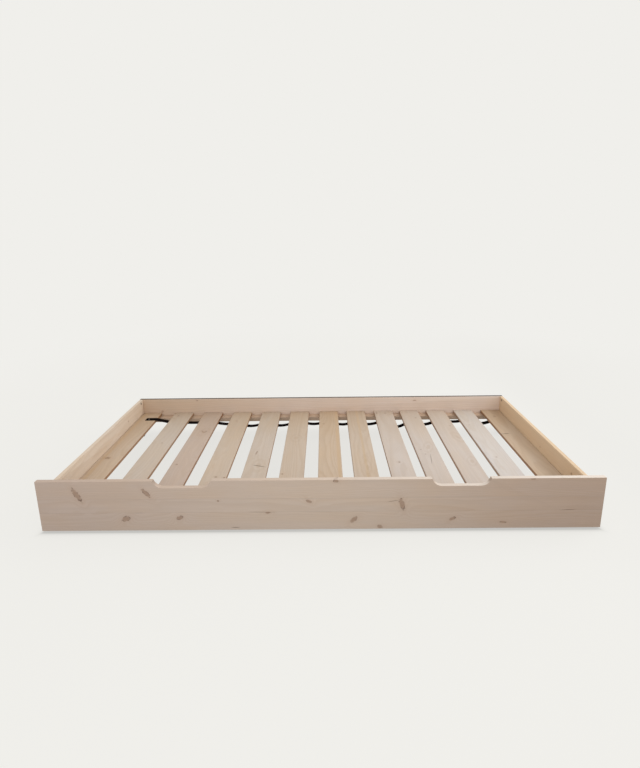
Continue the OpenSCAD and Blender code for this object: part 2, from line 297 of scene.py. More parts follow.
@dataclass(frozen=True)
class Pine:
    """Bare pine: growth rings about a pith outside the board, fibres, knots and cracks.

    Attributes:
        name: The material's name.
        light: Colour of the early wood.
        grain: The axis that the grain runs along.
        face: The axis across the board's wide face.
        pith_across: Place of the pith across the face, in millimetres.
        pith_deep: Depth of the pith along the board's thickness, in millimetres.
        ring: Spacing of the growth rings, in millimetres.
        contrast: How dark the late wood is, from 0 to 1.
        seed: Where in the noise this board is cut.
        knots: Its knots.
        cracks: Its cracks and dark streaks.
        glue: Places of the glue lines across the face.
        stripe: A warmer streak along the grain, as place and half width.
        low_end_shading: Colour towards the grain axis's negative end, if it differs, for painted shading
            along the board.
        high_end_shading: Colour towards the grain axis's positive end, if it differs, for painted shading
            along the board.
        reach: Half the board's length, in millimetres.
        dark_arris: Height and depth past which the top's rear corner is coloured dark.
        painted_side_shade: What the colour of the board's narrow side faces is multiplied by: painted shade
            on those faces.
        top_highlight: Colour of the top edge's right-hand end: a painted highlight where the light falls on
            it.
        swirls: Faint rings in the grain about knots that lie below the face.
    """

    name: str
    light: Colour
    grain: Axis
    face: Axis
    pith_across: float
    pith_deep: float
    ring: float = 5.5
    contrast: float = 0.34
    seed: float = 0.0
    knots: tuple[Spot, ...] = ()
    cracks: tuple[Spot, ...] = ()
    glue: tuple[float, ...] = ()
    stripe: tuple[float, float] | None = None
    low_end_shading: Colour | None = None
    high_end_shading: Colour | None = None
    reach: float = 1000.0
    dark_arris: tuple[float, float] | None = None
    painted_side_shade: Colour | None = None
    top_highlight: Colour | None = None
    swirls: tuple[Spot, ...] = ()

    def nearness(self, graph: Graph, point: Wire, spots: Sequence[Spot]) -> Wire:
        """Gives the distance to the nearest spot, where 1 is on a spot's outline.

        Args:
            graph: The material's graph.
            point: The point on the board, as along, across and deep.
            spots: The spots.

        Returns:
            The smallest distance, as a share of that spot's size.
        """
        through = 1.0e5
        found = []
        for spot in spots:
            inputs = {
                0: point,
                1: Vector((spot.along, spot.across, 0.0)),
                2: Euler((0.0, 0.0, math.radians(spot.tilt))),
                3: Vector((spot.long, spot.wide, through)),
            }
            offset = graph.node("ShaderNodeMapping", {"vector_type": "TEXTURE"}, inputs)
            found.append(graph.node("ShaderNodeVectorMath", {"operation": "LENGTH"}, {0: offset}, out=1))
        return graph.least(found)

    def build(self) -> bpy.types.Material:
        """Builds the material.

        Returns:
            The material.
        """
        graph = Graph(self.name)
        where = graph.place_mm()
        deep_axis = next(a for a in Axis if a not in (self.grain, self.face))
        along = graph.part(where, self.grain) + self.seed * 1371.0
        across = graph.part(where, self.face)
        deep = graph.part(where, deep_axis)
        board: Number = 0.0
        for line in self.glue:
            board = (across > line) + board
        shifted = along + board * 2310.0
        face_point = graph.join(graph.part(where, self.grain), across, deep)
        near = self.nearness(graph, face_point, self.knots) if self.knots else None

        # Growth rings
        slow = graph.join(shifted * 0.0021, across * 0.004, deep * 0.004)
        wander = graph.noise(slow, 1.0, detail=1.0) - 0.5
        drift = graph.noise(graph.join(shifted * 0.0011, 7.7, board * 3.1), 1.0, detail=1.0) - 0.5
        ripple = graph.noise(graph.join(shifted * 0.012, across * 0.05, deep * 0.05), 1.0) - 0.5
        side = across - self.pith_across + board * 47.0 + drift * 90.0
        down = deep - self.pith_deep + wander * 46.0 + board * 9.0
        radius = graph.math("SQRT", side * side + down * down) + ripple * 5.0
        if near is not None:
            bulge = graph.math("EXPONENT", -(near * near) * 0.22)
            radius = radius + bulge * self.ring * 3.2
        uneven = graph.noise(graph.join(radius * 0.03, self.seed, board), 1.0, detail=0.0)
        turn = graph.math("FRACT", radius / self.ring + uneven * 6.0)
        late = graph.smooth(turn, 0.25, 0.86) * (1.0 - graph.smooth(turn, 0.88, 1.0))

        # Fibres, pores and broad patches
        fibre = graph.noise(graph.join(shifted * 0.022, across * 0.9, deep * 0.9), 1.0, detail=4.0)
        streak = graph.noise(graph.join(shifted * 0.004, across * 0.11, deep * 0.11), 1.0, detail=3.0)
        patch = graph.noise(graph.join(shifted * 0.005, across * 0.014, deep * 0.014), 1.0, detail=2.0)

        red, green, blue = self.light
        place = graph.part(where, self.grain) / self.reach
        # Painted shading: the colour changes towards the board's ends with the light that falls there.
        base = graph.mix(graph.smooth(-place, 0.0, 1.0), self.light, self.low_end_shading or self.light)
        base = graph.mix(graph.smooth(place, 0.0, 1.0), base, self.high_end_shading or self.light)
        late_colour = graph.tint(base, (0.80, 0.70, 0.58))
        warm_colour = graph.tint(base, (1.01, 0.96, 0.88))
        colour = graph.mix(graph.smooth(patch, 0.32, 0.72) * 0.55, base, warm_colour)
        colour = graph.mix(late * (self.contrast + (streak - 0.5) * 0.5), colour, late_colour)
        if self.stripe is not None:
            line, half = self.stripe
            off = graph.math("ABSOLUTE", across - line + (streak - 0.5) * half) / half
            honey = (red * 0.98, green * 0.86, blue * 0.66)
            colour = graph.mix((1.0 - graph.smooth(off, 0.2, 1.2)) * 0.5, colour, honey)
        colour = graph.dim(colour, 0.86 + fibre * 0.14 + streak * 0.14)

        rough = 0.66 - late * 0.10 + fibre * 0.06
        height = fibre * 0.6 + late * 0.35

        # Glue lines between the boards of a panel
        for line in self.glue:
            off = graph.math("ABSOLUTE", across - line)
            colour = graph.dim(colour, 0.80 + graph.smooth(off, 0.15, 0.7) * 0.20)

        # Knots: a dark rim, a red-brown heart with rings of its own, and a warm halo
        if near is not None:
            edge = near + (graph.noise(face_point, 0.13, detail=3.0) - 0.5) * 0.9
            halo = graph.math("EXPONENT", -(near * near) * 0.4)
            colour = graph.mix(halo * 0.3, colour, (red * 0.78, green * 0.63, blue * 0.52))
            core = 1.0 - graph.smooth(edge, 0.62, 1.08)
            rings = graph.math("SINE", edge * 13.0) * 0.5 + 0.5
            dark_heart = (red * 0.46, green * 0.35, blue * 0.28)
            light_heart = (red * 0.66, green * 0.54, blue * 0.46)
            colour = graph.mix(core * 0.66, colour, graph.mix(rings * 0.5, dark_heart, light_heart))
            gap = graph.smooth(graph.noise(face_point, 0.09, detail=2.0), 0.42, 0.66)
            rim = graph.math("EXPONENT", -((edge - 0.90) * (edge - 0.90)) * 48.0) * gap
            colour = graph.mix(rim * 0.78, colour, (red * 0.16, green * 0.11, blue * 0.09))
            rough = rough - core * 0.16
            height = height - rim * 0.9 + core * 0.3
        if self.swirls:
            bent = self.nearness(graph, face_point, self.swirls)
            bent = bent + (graph.noise(face_point, 0.05) - 0.5) * 0.5
            rings = graph.math("SINE", bent * 9.0) * 0.5 + 0.5
            fade = graph.math("EXPONENT", -(bent * bent) * 0.9)
            colour = graph.mix(fade * rings * 0.42, colour, late_colour)
        if self.cracks:
            ragged = self.nearness(graph, face_point, self.cracks) + (fibre - 0.5) * 0.8
            split = 1.0 - graph.smooth(ragged, 0.3, 1.1)
            colour = graph.mix(split * 0.7, colour, (red * 0.16, green * 0.12, blue * 0.09))
            height = height - split * 1.2

        # The top's rear edge is coloured dark brown.
        if self.dark_arris is not None:
            level, depth = self.dark_arris
            above = graph.smooth(graph.part(where, Axis.Z), level - 2.6, level - 0.6)
            behind = graph.smooth(graph.part(where, Axis.Y), depth - 1.5, depth + 1.5)
            colour = graph.mix(above * behind, colour, (red * 0.08, green * 0.06, blue * 0.045))
        faces = graph.facing()
        # Painted shade: the narrow side faces, down in the gaps between the slats, are darkened.
        if self.painted_side_shade is not None:
            narrow = graph.smooth(graph.math("ABSOLUTE", graph.part(faces, self.face)), 0.75, 0.97)
            colour = graph.mix(narrow, colour, graph.tint(colour, self.painted_side_shade))
        # Painted highlight: upward faces grow lighter towards the right-hand end.
        if self.top_highlight is not None:
            upward = graph.smooth(graph.part(faces, Axis.Z), 0.5, 0.9)
            colour = graph.mix(upward * graph.smooth(place, -0.35, 0.75), colour, self.top_highlight)

        # End grain is darker and rougher
        end = graph.smooth(graph.math("ABSOLUTE", graph.part(faces, self.grain)), 0.6, 0.9)
        pore = graph.noise(where, 1.9, detail=2.0)
        colour = graph.dim(colour, 1.0 - end * (0.16 + pore * 0.16))

        graph.set(Base_Color=colour, Roughness=rough + end * 0.1, Specular_IOR_Level=0.32)
        graph.bump(height, 0.00025, 0.5)
        return graph.material


@dataclass(frozen=True)
class Zinc:
    """Zinc-plated steel with a faint spangle and fine drawing lines.

    Attributes:
        name: The material's name.
        colour: The plating's colour.
        rough: Its roughness.
    """

    name: str
    colour: Colour
    rough: float = 0.34

    def build(self) -> bpy.types.Material:
        """Builds the material."""
        graph = Graph(self.name)
        where = graph.place_mm()
        grain = graph.noise(where, 0.9, detail=3.0)
        cloud = graph.noise(where, 0.09, detail=2.0)
        stain = graph.smooth(graph.noise(where, 0.21, detail=4.0), 0.56, 0.78)
        red, green, blue = self.colour
        colour = graph.mix(cloud, self.colour, (red * 0.82, green * 0.84, blue * 0.88))
        colour = graph.mix(stain * 0.4, colour, (red * 0.60, green * 0.57, blue * 0.50))
        graph.set(Base_Color=colour, Metallic=1.0, Roughness=self.rough + grain * 0.16 + stain * 0.18)
        graph.bump(grain, 0.00006, 0.35)
        return graph.material


@dataclass(frozen=True)
class Moulded:
    """Moulded plastic or rubber with a fine spark-eroded texture and scuffs.

    Attributes:
        name: The material's name.
        colour: The moulding's colour.
        rough: Its roughness.
        grit: Depth of the texture, in metres.
    """

    name: str
    colour: Colour
    rough: float
    grit: float

    def build(self) -> bpy.types.Material:
        """Builds the material."""
        graph = Graph(self.name)
        where = graph.place_mm()
        speck = graph.noise(where, 2.6, detail=3.0)
        scuff = graph.smooth(graph.noise(where, 0.17, detail=5.0, distortion=0.6), 0.54, 0.74)
        red, green, blue = self.colour
        worn = (red * 1.9 + 0.02, green * 1.9 + 0.02, blue * 1.85 + 0.02)
        colour = graph.mix(scuff * 0.5, self.colour, worn)
        graph.set(Base_Color=colour, Roughness=self.rough + scuff * 0.12 + speck * 0.06)
        graph.bump(speck, self.grit, 0.6)
        return graph.material


@dataclass(frozen=True)
class Tape:
    """Flat woven tape: a herringbone of dark warp threads and firm edges.

    Attributes:
        name: The material's name.
        colour: The thread's colour.
        middle: Place of the tape's centre line across its width, in millimetres.
        half: Half the tape's width, in millimetres.
    """

    name: str
    colour: Colour
    middle: float
    half: float

    def build(self) -> bpy.types.Material:
        """Builds the material."""
        graph = Graph(self.name)
        where = graph.place_mm()
        run = graph.part(where, Axis.X)
        across = graph.part(where, Axis.Y) - self.middle
        off = graph.math("ABSOLUTE", across)
        row = graph.math("SINE", (run + graph.math("PINGPONG", across, 3.1)) * 3.6)
        rib = graph.math("SINE", across * 5.2)
        weave = (row * 0.5 + 0.5) * (rib * 0.3 + 0.7)
        fuzz = graph.noise(where, 1.4, detail=3.0)
        hem = graph.smooth(off, self.half - 1.6, self.half - 1.1)
        red, green, blue = self.colour
        # Painted sheen: the raised threads and the fuzz are made lighter where they would catch the light.
        raised_sheen = (red * 2.0 + 0.003, green * 2.0 + 0.0015, blue * 2.0 + 0.001)
        colour = graph.mix(weave * 0.6 + fuzz * 0.3, self.colour, raised_sheen)
        colour = graph.dim(colour, 1.0 - hem * 0.3)
        graph.set(Base_Color=colour, Roughness=0.86 - weave * 0.08, Specular_IOR_Level=0.04)
        graph.bump(weave * (1.0 - hem) + fuzz * 0.3, 0.0003, 0.8)
        return graph.material


# ---------------------------------------------------------------------------
# Modelling by hand
# ---------------------------------------------------------------------------


def select_only(piece: bpy.types.Object) -> None:
    """Selects one object and nothing else."""
    if bpy.context.object is not None and bpy.context.object.mode != "OBJECT":
        bpy.ops.object.mode_set(mode="OBJECT")
    bpy.ops.object.select_all(action="DESELECT")
    piece.select_set(True)
    bpy.context.view_layer.objects.active = piece


def pick_edges(piece: bpy.types.Object, wanted: Callable[[bmesh.types.BMEdge], bool]) -> int:
    """Selects edges of the mesh in edit mode.

    Args:
        piece: The object in edit mode.
        wanted: Says whether an edge is taken.

    Returns:
        How many edges are selected.
    """
    bpy.ops.mesh.select_mode(type="EDGE")
    bpy.ops.mesh.select_all(action="DESELECT")
    mesh = bmesh.from_edit_mesh(piece.data)
    count = 0
    for edge in mesh.edges:
        if wanted(edge):
            edge.select_set(True)
            count += 1
    bmesh.update_edit_mesh(piece.data)
    return count


def copy_of(node: str, name: str) -> bpy.types.Object:
    """Copies a CAD node into an editable mesh with its doubles merged and its flats made whole.

    Args:
        node: The node's name.
        name: The new piece's name.

    Returns:
        The copy, in edit mode.
    """
    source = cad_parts[node]
    piece = source.copy()
    piece.data = source.data.copy()
    piece.name = name
    piece.data.name = name
    piece.parent = None
    piece.matrix_world = Matrix.Identity(4)
    piece.data.materials.clear()
    bpy.context.scene.collection.objects.link(piece)
    select_only(piece)
    bpy.ops.object.mode_set(mode="EDIT")
    bpy.ops.mesh.select_all(action="SELECT")
    bpy.ops.mesh.remove_doubles(threshold=2e-6)
    bpy.ops.mesh.customdata_custom_splitnormals_clear()
    bpy.ops.mesh.faces_shade_flat()
    bpy.ops.mesh.dissolve_limited(angle_limit=math.radians(1.0))
    return piece


def sharp(edge: bmesh.types.BMEdge, degrees: float = 30.0) -> bool:
    """Says whether an edge is a real corner."""
    return len(edge.link_faces) == 2 and edge.calc_face_angle(0.0) > math.radians(degrees)


def finish_shape(piece: bpy.types.Object) -> bpy.types.Object:
    """Leaves edit mode and shades the piece by angle."""
    bpy.ops.object.mode_set(mode="OBJECT")
    select_only(piece)
    bpy.ops.object.shade_smooth_by_angle(angle=math.radians(40.0))
    for modifier in list(piece.modifiers):
        bpy.ops.object.modifier_apply(modifier=modifier.name)
    return piece


def dress(piece: bpy.types.Object, material: bpy.types.Material) -> None:
    """Gives a new piece its one material."""
    piece.data.materials.clear()
    piece.data.materials.append(material)


def stand_for(piece: bpy.types.Object, node: str, body: str = ROOT) -> None:
    """Makes a piece ride on a body in place of a CAD node, and reports it."""
    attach(piece, body)
    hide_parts(node)
    log.info("%s stands for %s: %d faces", piece.name, node, len(piece.data.polygons))


def paint(node: str, material: bpy.types.Material) -> None:
    """Gives a CAD node its material."""
    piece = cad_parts[node]
    for slot in piece.material_slots:
        slot.material = material
    log.info("%s keeps its CAD shape in %s", node, material.name)


def eased_board(node: str, name: str, easing: float, shortest: float) -> bpy.types.Object:
    """Models a board from its CAD node with every outer corner rounded over.

    Args:
        node: The CAD node.
        name: The new piece's name.
        easing: The rounding's width.
        shortest: Edges shorter than this, round the drilled holes, stay crisp.

    Returns:
        The board.
    """
    piece = copy_of(node, name)
    count = pick_edges(piece, lambda edge: sharp(edge) and edge.calc_length() > shortest)
    if count:
        bpy.ops.mesh.bevel(offset=easing, segments=3, profile=0.5, clamp_overlap=True)
    return finish_shape(piece)


# ---------------------------------------------------------------------------
# Sub-assemblies
# ---------------------------------------------------------------------------


def node_box(node: str) -> tuple[Vector, Vector]:
    """Gives a CAD node's lowest and highest corners."""
    low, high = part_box(node)
    return Vector(low), Vector(high)


@dataclass
class TrayBoards:
    """The four boards round the tray and the two ledges inside it.

    Attributes:
        easing: Width of the rounding on a board's corners.
        shortest: Edges shorter than this belong to drilled holes.
        glue_shares: Heights of the front panel's glue lines, as shares of its height.
        arris_width: How far forward the dark band on the back panel's top edge reaches, in millimetres.
    """

    easing: float = 0.0014
    shortest: float = 0.0013
    glue_shares: tuple[float, float] = (0.364, 0.636)
    arris_width: float = 16.0
    front_knots: tuple[Spot, ...] = (
        Spot(-857, 151, 29, 9, -62),
        Spot(-611, 157, 23, 7, -50),
        Spot(-692, 55, 16, 10, 25),
        Spot(-498, 58, 12, 8, 15),
        Spot(-358, 124, 4, 3),
        Spot(-183, 76, 9, 3.5, 4),
        Spot(-37, 120, 11, 6, -32),
        Spot(60, 198, 10, 6),
        Spot(122, 46, 17, 8, 42),
        Spot(216, 17, 10, 7, -8),
        Spot(292, 107, 24, 9, -74),
        Spot(472, 47, 14, 6, 24),
        Spot(653, 32, 12, 4, -4),
        Spot(745, 200, 9, 4),
    )
    front_cracks: tuple[Spot, ...] = (
        Spot(-205, 78.5, 70, 0.9, -1),
        Spot(878, 79.5, 34, 1.2, 2),
        Spot(-642, 78.5, 30, 0.6, 0),
        Spot(262, 119, 24, 1.4, 8),
        Spot(-300, 18, 20, 1.8, 0),
    )
    back_knots: tuple[Spot, ...] = (
        Spot(-662, 170, 5, 4),
        Spot(-853, 109, 9, 5, 35),
        Spot(140, 96, 7, 6),
        Spot(502, 160, 10, 3),
        Spot(812, 70, 11, 8, 12),
        Spot(-215, 68, 9, 6),
    )
    left_knots: tuple[Spot, ...] = (Spot(251, 137, 5, 4), Spot(-300, 60, 9, 7), Spot(20, 92, 4, 3))
    right_knots: tuple[Spot, ...] = (Spot(-54, 123, 4, 3), Spot(300, 84, 10, 7), Spot(-330, 140, 6, 5))

    def build(self) -> None:
        """Models the boards from their CAD nodes and dresses them."""
        low, high = node_box("front_panel")
        height = (high.z - low.z) * PER_METRE
        lines = tuple(low.z * PER_METRE + height * (1 - share) for share in self.glue_shares)
        back_low, back_high = node_box("back_panel")
        arris = (back_high.z * PER_METRE, back_high.y * PER_METRE - self.arris_width)
        finishes = {
            # Painted shading: the front panel is darker towards both ends.
            "front_panel": Pine(
                "pine_front_panel", tone(203, 185, 171), Axis.X, Axis.Z, 120.0, -340.0, 4.6, 0.20, 1.0,
                self.front_knots, self.front_cracks, tuple(sorted(lines)),
                # Painted highlight: the top edge lightens towards the right-hand end.
                low_end_shading=tone(191, 172, 160), high_end_shading=tone(183, 161, 146), top_highlight=tone(218, 206, 196),
            ),
            # Painted shading: the back panel is darker at its left end and lighter at its right end.
            "back_panel": Pine(
                "pine_back_panel", tone(221, 203, 191), Axis.X, Axis.Z, 60.0, 560.0, 6.0, 0.20, 2.0,
                self.back_knots,
                low_end_shading=tone(206, 184, 164), high_end_shading=tone(226, 210, 200), dark_arris=arris,
            ),
            "left_side": Pine(
                "pine_left_side", tone(217, 201, 185), Axis.Y, Axis.Z, 130.0, -1010.0, 5.2, 0.26, 3.0,
                self.left_knots,
            ),
            "right_side": Pine(
                "pine_right_side", tone(215, 190, 161), Axis.Y, Axis.Z, 70.0, 1030.0, 5.8, 0.24, 4.0,
                self.right_knots,
            ),
            "front_ledge": Pine(
                "pine_front_ledge", tone(190, 166, 146), Axis.X, Axis.Y, -430.0, 20.0, 3.8, 0.3, 5.0,
            ),
            "back_ledge": Pine(
                "pine_back_ledge", tone(190, 166, 146), Axis.X, Axis.Y, 440.0, 10.0, 3.8, 0.3, 6.0,
            ),
        }
        for node, finish in finishes.items():
            board = eased_board(node, f"{node}_board", self.easing, self.shortest)
            dress(board, finish.build())
            stand_for(board, node)


class Shade(Enum):
    """The slats' shades, from warm to bleached."""

    HONEY = tone(195, 175, 155)
    SAND = tone(195, 178, 162)
    ROSE = tone(190, 172, 160)
    OAT = tone(196, 182, 170)
    PALE = tone(198, 186, 178)
    CHALK = tone(202, 196, 194)


@dataclass
class SlatDeck:
    """The thirteen loose slats.

    Attributes:
        count: How many slats there are.
        easing: Width of the rounding on a slat's ends.
        shortest: Edges shorter than this belong to the tack holes or the rounded edges.
        shades: Shade of each slat.
    """

    count: int = 13
    easing: float = 0.0009
    shortest: float = 0.0003
    shades: tuple[Shade, ...] = (
        Shade.HONEY, Shade.OAT, Shade.ROSE, Shade.SAND, Shade.OAT, Shade.SAND, Shade.HONEY,
        Shade.SAND, Shade.PALE, Shade.PALE, Shade.PALE, Shade.CHALK, Shade.HONEY,
    )
    knots: dict[int, tuple[Spot, ...]] = field(default_factory=lambda: {
        1: (Spot(-84, -918, 9, 12, 14), Spot(300, -880, 3, 3)),
        2: (Spot(408, -755, 6, 5), Spot(67, -731, 4, 4), Spot(-310, -715, 7, 5)),
        3: (Spot(190, -561, 15, 5, 24), Spot(196, -574, 13, 4, -30), Spot(-150, -600, 4, 4)),
        4: (Spot(-261, -412, 5, 5), Spot(-268, -378, 5, 6), Spot(330, -430, 4, 3)),
        5: (Spot(-47, -279, 17, 3, 6),),
        6: (Spot(-240, -150, 5, 4),),
        7: (Spot(280, 15, 5, 4),),
        8: (Spot(-300, 200, 6, 5),),
        9: (Spot(-145, 331, 5, 4), Spot(423, 296, 7, 5), Spot(421, 341, 6, 5)),
        10: (Spot(-72, 456, 3, 3), Spot(-25, 444, 3, 3), Spot(350, 490, 5, 4)),
        11: (Spot(240, 640, 4, 4),),
        12: (Spot(-106, 750, 4, 4), Spot(250, 735, 4, 3)),
        13: (Spot(359, 897, 7, 5),),
    })
    cracks: dict[int, tuple[Spot, ...]] = field(default_factory=lambda: {
        5: (Spot(-170, -252, 4, 38, 18),),
        10: (Spot(-120, 470, 60, 1.6, 8),),
        13: (Spot(138, 877, 5, 24, -6),),
    })
    swirls: dict[int, tuple[Spot, ...]] = field(default_factory=lambda: {
        3: (Spot(190, -566, 52, 26, 12),),
        5: (Spot(-165, -256, 60, 30, 0),),
        6: (Spot(109, -114, 46, 27, 0),),
        8: (Spot(-190, 196, 70, 18, 0),),
        10: (Spot(-2, 481, 60, 24, 14),),
        11: (Spot(104, 642, 62, 26, -10), Spot(-141, 636, 48, 22, 12)),
    })
    stripes: dict[int, tuple[float, float]] = field(default_factory=lambda: {
        7: (80.0, 9.0),
        8: (192.0, 8.0),
        1: (-935.0, 10.0),
    })

    def build(self) -> None:
        """Models the slats from their CAD nodes and dresses each in its own board."""
        for number in range(1, self.count + 1):
            node = f"slat_{number:02d}"
            low, high = node_box(node)
            middle = (low.x + high.x) / 2 * PER_METRE
            swing = math.sin(number * 2.4)
            shade = self.shades[number - 1].value
            red, green, blue = shade
            finish = Pine(
                f"pine_{node}", shade, Axis.Y, Axis.X,
                pith_across=middle + 55.0 * swing,
                pith_deep=20.0 - 45.0 * abs(math.cos(number * 1.7)),
                ring=4.4 + 1.6 * abs(math.sin(number * 1.3)),
                contrast=0.24 + 0.08 * math.cos(number * 0.9),
                seed=10.0 + number,
                knots=self.knots.get(number, ()),
                swirls=self.swirls.get(number, ()),
                cracks=self.cracks.get(number, ()),
                stripe=self.stripes.get(number),
                # Painted shade: each slat is darker towards the back.
                high_end_shading=(red * 0.90, green * 0.86, blue * 0.79),
                reach=high.y * PER_METRE,
                painted_side_shade=(0.66, 0.47, 0.34),
            )
            slat = eased_board(node, f"{node}_board", self.easing, self.shortest)
            dress(slat, finish.build())
            stand_for(slat, node)


@dataclass
class Fittings:
    """Tacks, cams, bolts, dowels and screws, eased from their CAD shapes.

    Attributes:
        easing: Width of the rounding on a fitting's corners.
        bright: The finish of screws, bolts and tacks.
        cast: The finish of the cast cam locks.
        beech: The dowels' wood.
    """

    easing: float = 0.00012
    bright: Zinc = Zinc("zinc_fixings", (0.60, 0.61, 0.62), 0.32)
    cast: Zinc = Zinc("zinc_cast", (0.16, 0.13, 0.11), 0.50)
    beech: Pine = Pine("beech_dowel", tone(205, 178, 142), Axis.Y, Axis.Z, 80.0, -900.0, 2.4, 0.2, 40.0)

    def build(self) -> None:
        """Models the fittings and dresses them."""
        bright, cast, beech = self.bright.build(), self.cast.build(), self.beech.build()
        finishes = {
            "webbing_tacks": bright, "cam_bolts": bright, "ledge_screws": bright, "castor_screws": bright,
            "cam_locks": cast, "corner_dowels": beech,
        }
        for node, finish in finishes.items():
            piece = eased_board(node, f"{node}_set", self.easing, 0.0)
            dress(piece, finish)
            stand_for(piece, node)


@dataclass
class Webbing:
    """The two black tapes that tie the slats: over the first slat, and under the others.

    Attributes:
        rear_sag: How far the rear tape hangs below the slats after the second slat, in millimetres.
        front_sag: The same for the front tape.
        rear_lean: Where the rear tape's lowest points lie: left of the middle below 1, right of it above 1.
        front_lean: The same for the front tape.
        thick: The tape's thickness.
        flat: Half the stretch that lies flat by a tack.
        tail: How far the tape runs past its last tacks.
        steps: Stretches between two slats.
        inset: How far the visual tape's faces stay inside the CAD tape's.
    """

    rear_sag: tuple[float, ...] = (5, 14, 26, 25, 18, 22, 22, 38, 26, 12, 24)
    front_sag: tuple[float, ...] = (16, 22, 9, 27, 18, 31, 24, 15, 20, 28, 11)
    rear_lean: tuple[float, ...] = (0.9, 1.35, 0.65, 0.65, 1, 1, 0.75, 0.8, 0.85, 1.1, 0.9)
    front_lean: tuple[float, ...] = (1.2, 0.8, 1, 0.7, 1.3, 1, 0.85, 1.1, 0.75, 1, 1.25)
    thick: float = 0.0012
    flat: float = 0.006
    tail: float = 0.016
    steps: int = 8
    inset: float = 0.00004

    def route(self, sags: Sequence[float], leans: Sequence[float]) -> list[Vector]:
        """Works out the tape's middle line from the slats' places.

        Args:
            sags: How far the tape hangs below the slats in each gap.
            leans: Where its lowest point lies in each gap.

        Returns:
            The line's points.
        """
        boxes = [node_box(f"slat_{number:02d}") for number in range(1, len(sags) + 3)]
        middles = [(low.x + high.x) / 2 for low, high in boxes]
        half = (boxes[0][1].x - boxes[0][0].x) / 2
        top = boxes[0][1].z + self.thick / 2
        under = boxes[0][0].z - self.thick / 2
        first = middles[0] + half / 4
        points = [Vector((first - self.tail, 0.0, top))]
        points.append(Vector((middles[0] + half - 0.001, 0.0, top)))
        points.append(Vector((middles[0] + half + 0.0008, 0.0, top - 0.0004)))
        points.append(Vector((middles[1] - half - 0.0018, 0.0, under - 0.0008)))
        points.append(Vector((middles[1] - half / 2, 0.0, under)))
        for left, right, sag, lean in zip(middles[1:], middles[2:], sags, leans):
            for step in range(self.steps + 1):
                share = step / self.steps
                x = left + self.flat + (right - left - 2 * self.flat) * share
                drop = 4 * sag * MM * share**lean * (1 - share**lean)
                points.append(Vector((x, 0.0, under - drop)))
        points.append(Vector((middles[-1] + self.tail, 0.0, under)))
        return points

    def tape(self, node: str, sags: Sequence[float], leans: Sequence[float]) -> bpy.types.Object:
        """Lays a strip of tape along its route.

        Args:
            node: The CAD node that the tape stands for.
            sags: How far it hangs in each gap.
            leans: Where its lowest point lies in each gap.

        Returns:
            The tape.
        """
        low, high = node_box(node)
        points = self.route(sags, leans)
        length = sum((b - a).length for a, b in zip(points, points[1:]))
        data = bpy.data.curves.new(f"{node}_route", "CURVE")
        data.dimensions = "3D"
        data.twist_mode = "Z_UP"
        spline = data.splines.new("POLY")
        spline.points.add(len(points) - 1)
        for point, place in zip(spline.points, points):
            point.co = (*place, 1.0)
        route = bpy.data.objects.new(f"{node}_route", data)
        bpy.context.scene.collection.objects.link(route)
        bpy.ops.object.select_all(action="DESELECT")
        bpy.ops.mesh.primitive_grid_add(x_subdivisions=640, y_subdivisions=6, size=1.0)
        piece = bpy.context.object
        piece.name = piece.data.name = f"{node}_tape"
        bpy.ops.object.mode_set(mode="EDIT")
        bpy.ops.mesh.select_all(action="SELECT")
        bpy.ops.transform.resize(value=(length, high.y - low.y - 2 * self.inset, 1.0))
        bpy.ops.transform.translate(value=(length / 2, 0.0, 0.0))
        bpy.ops.object.mode_set(mode="OBJECT")
        bend = piece.modifiers.new("route", "CURVE")
        bend.object = route
        skin = piece.modifiers.new("thickness", "SOLIDIFY")
        skin.thickness = self.thick - 2 * self.inset
        skin.offset = 0.0
        edge = piece.modifiers.new("hems", "BEVEL")
        edge.width = 0.0003
        edge.segments = 2
        edge.angle_limit = math.radians(60.0)
        select_only(piece)
        for name in ("route", "thickness", "hems"):
            bpy.ops.object.modifier_apply(modifier=name)
        bpy.ops.object.mode_set(mode="EDIT")
        bpy.ops.mesh.select_all(action="SELECT")
        bpy.ops.transform.translate(value=(0.0, (low.y + high.y) / 2, 0.0))
        bpy.data.objects.remove(route)
        return finish_shape(piece)

    def build(self) -> None:
        """Models and dresses the tapes."""
        hangs = {
            "rear_webbing": (self.rear_sag, self.rear_lean),
            "front_webbing": (self.front_sag, self.front_lean),
        }
        for node, (sags, leans) in hangs.items():
            low, high = node_box(node)
            middle = (low.y + high.y) / 2 * PER_METRE
            half = (high.y - low.y) / 2 * PER_METRE
            piece = self.tape(node, sags, leans)
            dress(piece, Tape(f"tape_{node}", (0.0025, 0.0012, 0.0012), middle, half).build())
            stand_for(piece, node)


